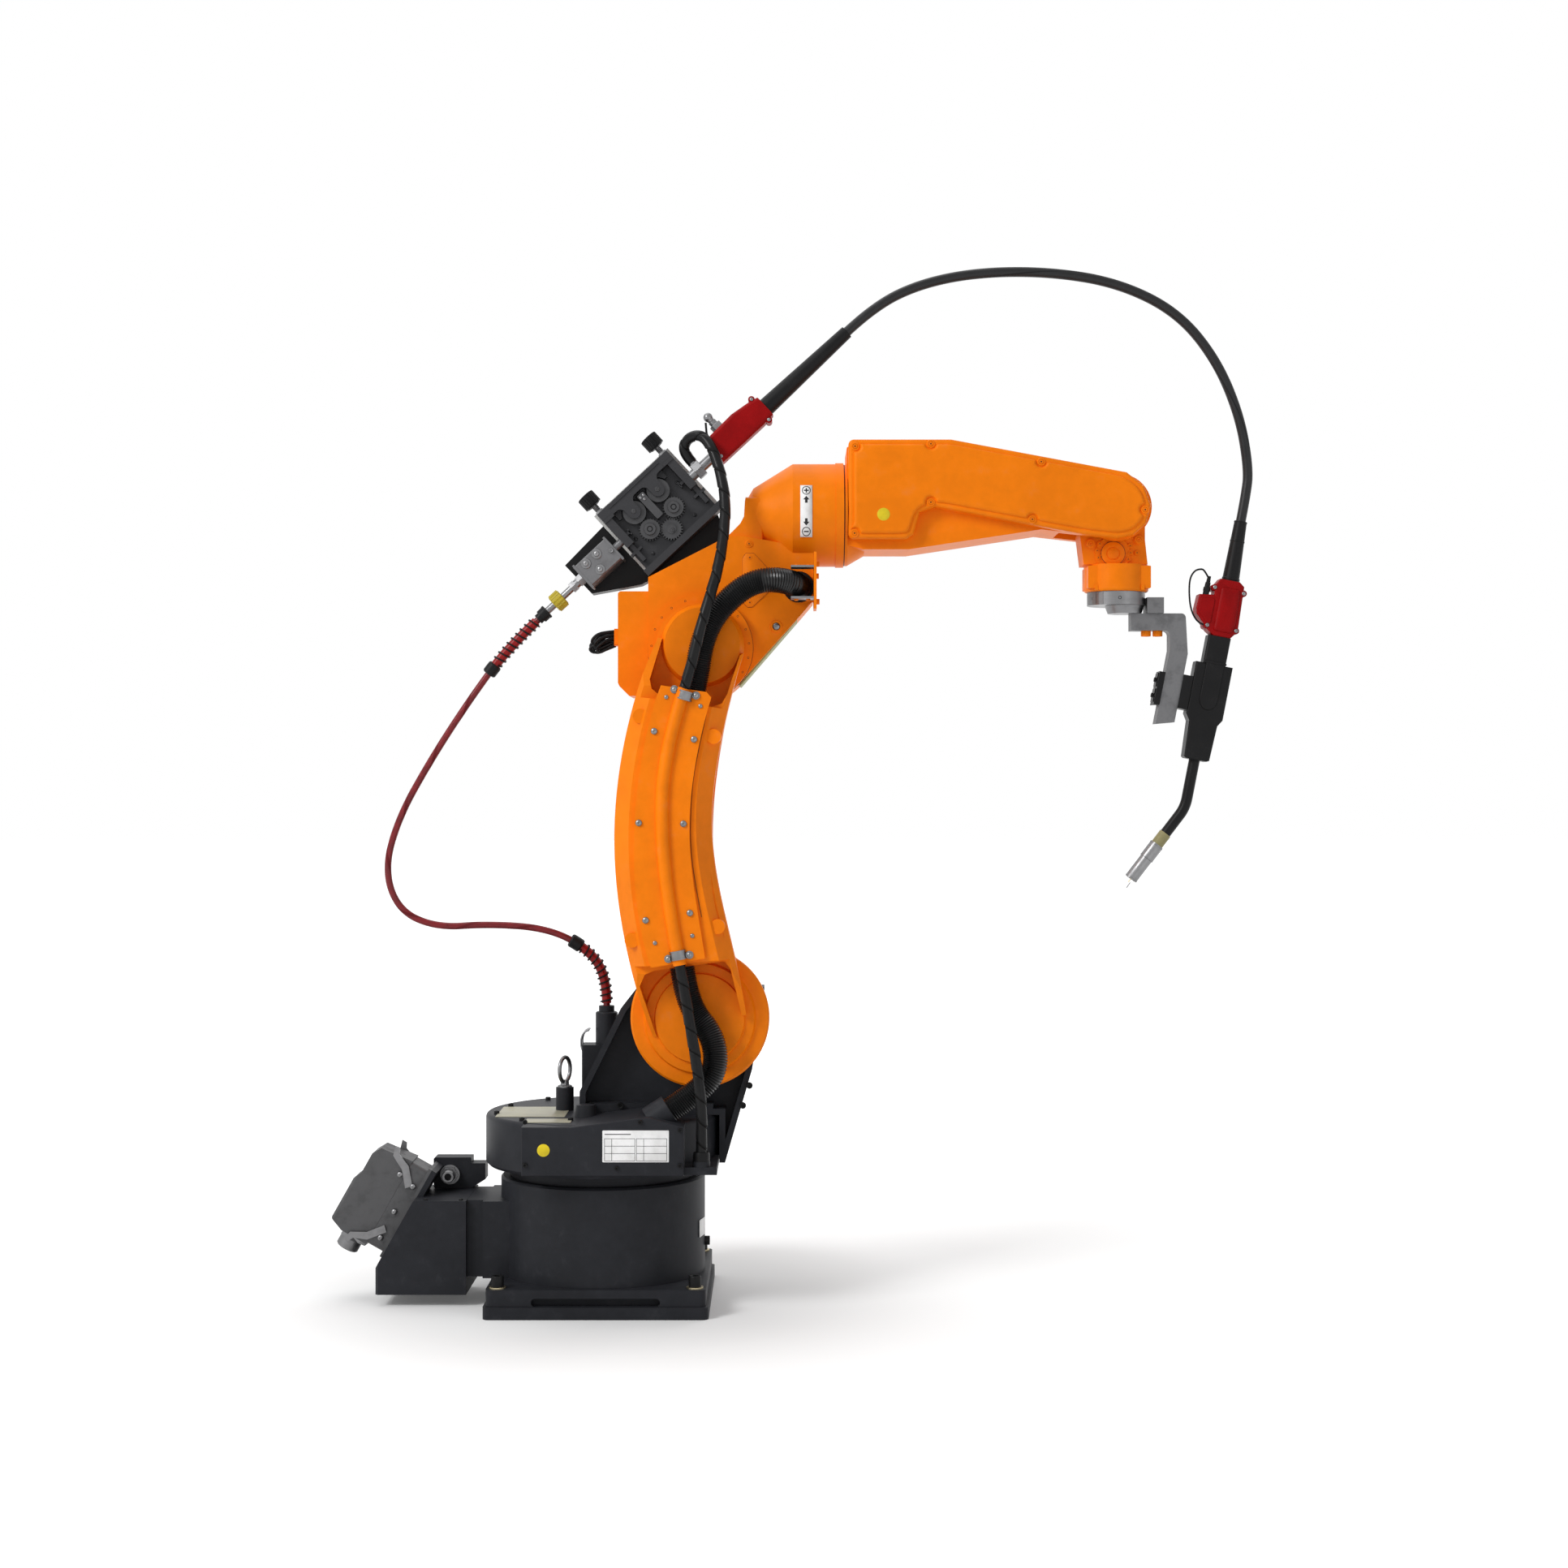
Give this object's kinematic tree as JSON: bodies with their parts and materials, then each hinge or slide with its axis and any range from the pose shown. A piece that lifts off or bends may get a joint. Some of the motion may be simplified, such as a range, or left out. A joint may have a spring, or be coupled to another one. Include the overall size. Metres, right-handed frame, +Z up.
{
  "type": "arc-welding robot arm",
  "caption": "Floor-mounted jointed arm of cast links with a wire feeder over the elbow and an arc-welding torch at the wrist, fed by a cable that arches over the forearm.",
  "frame": {"origin": "centre of the base's underside, on the axis that the base turns about", "axes": "+Z up, +X along the reach of the arm, -Y toward the side with the arm cover"},
  "size_m": [1.402, 0.362, 1.5687],
  "materials": {
    "orange_paint": "satin, fine texture",
    "dark_paint": "satin, near-black cast paint",
    "dark_plastic": "matt black",
    "red_plastic": "dark red, low gloss",
    "steel": "brushed",
    "gear_steel": "dark, oiled",
    "aluminium": "cast, matt",
    "plate_grey": "dark anodised",
    "brass": "nickel-plated brass",
    "olive": "yellow plastic",
    "pale": "pale insulating board",
    "rubber": "black rubber",
    "red_hose": "dark red hose",
    "beige": "beige insulator"
  },
  "bodies": {
    "base": {"base_casting": "dark_paint", "connector_box": "dark_paint", "connector_socket": "aluminium", "connector_hood": "aluminium", "hood_gland": "steel", "hood_levers": "steel", "gas_block": "dark_paint", "gas_fitting": "steel"},
    "turret": {"turret_casting": "dark_paint", "turret_cover": "dark_paint", "lifting_eye": "steel", "hose_socket": "dark_paint", "tower": "dark_paint", "shoulder_motor": "dark_plastic", "low_conduit": "rubber", "low_hose": "rubber"},
    "arm": {"upper_arm": "orange_paint", "arm_cover": "orange_paint", "arm_clamps": "steel"},
    "elbow": {"elbow_casting": "orange_paint", "elbow_motor_box": "orange_paint", "hose_bracket": "orange_paint", "hose_clips": "orange_paint", "feeder_bracket": "dark_plastic", "feed_motor": "dark_plastic", "feeder_insulator": "pale", "feeder_plate": "plate_grey", "wire_guide": "gear_steel", "pinion_gear": "gear_steel", "drive_rolls": "gear_steel", "pressure_rolls": "gear_steel", "pressure_arms": "plate_grey", "tension_knobs": "dark_plastic", "inlet_block": "plate_grey", "inlet_fitting": "steel", "inlet_collar": "olive", "liner_ferrule": "dark_plastic", "gun_coupling": "steel", "gun_connector": "red_plastic", "gun_boot": "rubber", "high_conduit": "rubber", "high_hose": "rubber", "liner_hose": "red_hose"},
    "forearm": {"forearm_casting": "orange_paint", "forearm_cover": "orange_paint"},
    "wrist": {"wrist_housing": "orange_paint"},
    "tool": {"tool_flange": "steel", "mounting_block": "aluminium", "torch_bracket": "aluminium", "torch_clamp": "dark_plastic", "torch_body": "dark_plastic", "torch_connector": "red_plastic", "torch_boot": "rubber", "swan_neck": "dark_plastic", "nozzle_insulator": "beige", "gas_nozzle": "steel", "contact_tip": "brass", "torch_cable": "rubber"}
  },
  "joints": [
    {"name": "base_turn", "type": "hinge", "parent": "base", "child": "turret", "pos_m": [0, 0, 0.2], "axis": [0, 0, 1], "range_deg": [-170, 170]},
    {"name": "shoulder_pitch", "type": "hinge", "parent": "turret", "child": "arm", "pos_m": [0.15, 0, 0.433], "axis": [0, 1, 0], "range_deg": [-60, 80], "deforming": ["low_conduit", "low_hose", "liner_hose"]},
    {"name": "elbow_pitch", "type": "hinge", "parent": "arm", "child": "elbow", "pos_m": [0.15, 0, 0.988], "axis": [0, -1, 0], "range_deg": [-45, 90], "deforming": ["high_conduit", "high_hose", "liner_hose"]},
    {"name": "forearm_roll", "type": "hinge", "parent": "elbow", "child": "forearm", "pos_m": [0.38, 0, 1.193], "axis": [1, 0, 0], "range_deg": [-150, 150], "deforming": ["torch_cable"]},
    {"name": "wrist_bend", "type": "hinge", "parent": "forearm", "child": "wrist", "pos_m": [0.783, 0, 1.193], "axis": [0, -1, 0], "range_deg": [-30, 110], "deforming": ["torch_cable"]},
    {"name": "flange_twist", "type": "hinge", "parent": "wrist", "child": "tool", "pos_m": [0.783, 0, 1.07], "axis": [0, 0, 1], "range_deg": [-120, 120], "deforming": ["torch_cable"]}
  ]
}
